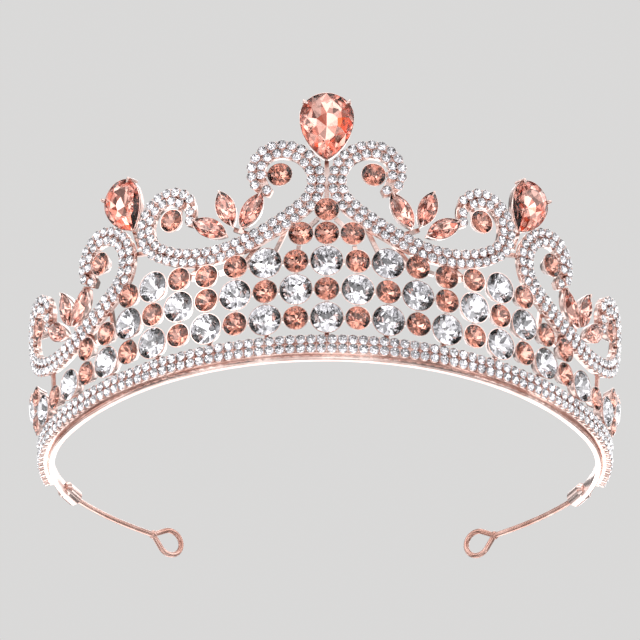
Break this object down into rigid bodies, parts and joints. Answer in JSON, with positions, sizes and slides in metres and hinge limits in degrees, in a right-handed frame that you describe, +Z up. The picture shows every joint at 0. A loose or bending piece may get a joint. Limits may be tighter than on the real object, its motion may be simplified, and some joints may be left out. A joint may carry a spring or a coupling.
{
  "type": "bridal tiara",
  "caption": "Openwork bridal tiara: set clear and peach stones in a leaning rose-gold wall of lattice, scrolls and pears, on a C-shaped headband with two looped wire arms.",
  "frame": {"origin": "middle of the headband's thickness at the front, on its underside", "axes": "+Z up, -Y out of the front of the tiara, X from side to side"},
  "size_m": [0.159, 0.1275, 0.0718],
  "materials": {
    "rose_gold": "polished rose-gold plating",
    "clear_crystal": "cut, foil-backed",
    "peach_crystal": "cut, foil-backed"
  },
  "bodies": {
    "root": {"headband": "rose_gold", "arm_left": "rose_gold", "arm_right": "rose_gold", "sleeve_left": "rose_gold", "sleeve_right": "rose_gold", "foot_strip": "rose_gold", "foot_stones_upper": "clear_crystal", "foot_stones_lower": "clear_crystal", "front_scroll_left": "rose_gold", "front_scroll_right": "rose_gold", "front_scroll_outer_stones_left": "clear_crystal", "front_scroll_outer_stones_right": "clear_crystal", "front_scroll_inner_stones_left": "clear_crystal", "front_scroll_inner_stones_right": "clear_crystal", "side_scroll_left": "rose_gold", "side_scroll_right": "rose_gold", "side_scroll_outer_stones_left": "clear_crystal", "side_scroll_outer_stones_right": "clear_crystal", "side_scroll_inner_stones_left": "clear_crystal", "side_scroll_inner_stones_right": "clear_crystal", "lower_cups": "rose_gold", "middle_cups": "rose_gold", "upper_cups": "rose_gold", "crest_cups": "rose_gold", "lower_clear_stones": "clear_crystal", "middle_clear_stones": "clear_crystal", "upper_clear_stones": "clear_crystal", "lower_peach_stones": "peach_crystal", "middle_peach_stones": "peach_crystal", "upper_peach_stones": "peach_crystal", "crest_peach_stones": "peach_crystal", "eye_cups_left": "rose_gold", "eye_cups_right": "rose_gold", "eye_stones_left": "peach_crystal", "eye_stones_right": "peach_crystal", "centre_pear_setting": "rose_gold", "centre_pear_stone": "peach_crystal", "side_pear_setting_left": "rose_gold", "side_pear_setting_right": "rose_gold", "side_pear_stone_left": "peach_crystal", "side_pear_stone_right": "peach_crystal", "front_navette_settings_left": "rose_gold", "front_navette_settings_right": "rose_gold", "front_navette_stones_left": "peach_crystal", "front_navette_stones_right": "peach_crystal", "side_navette_settings_left": "rose_gold", "side_navette_settings_right": "rose_gold", "side_navette_stones_left": "peach_crystal", "side_navette_stones_right": "peach_crystal", "lattice_bars": "rose_gold", "foot_bars": "rose_gold", "scroll_bars_left": "rose_gold", "scroll_bars_right": "rose_gold", "centre_spine": "rose_gold"}
  },
  "joints": []
}
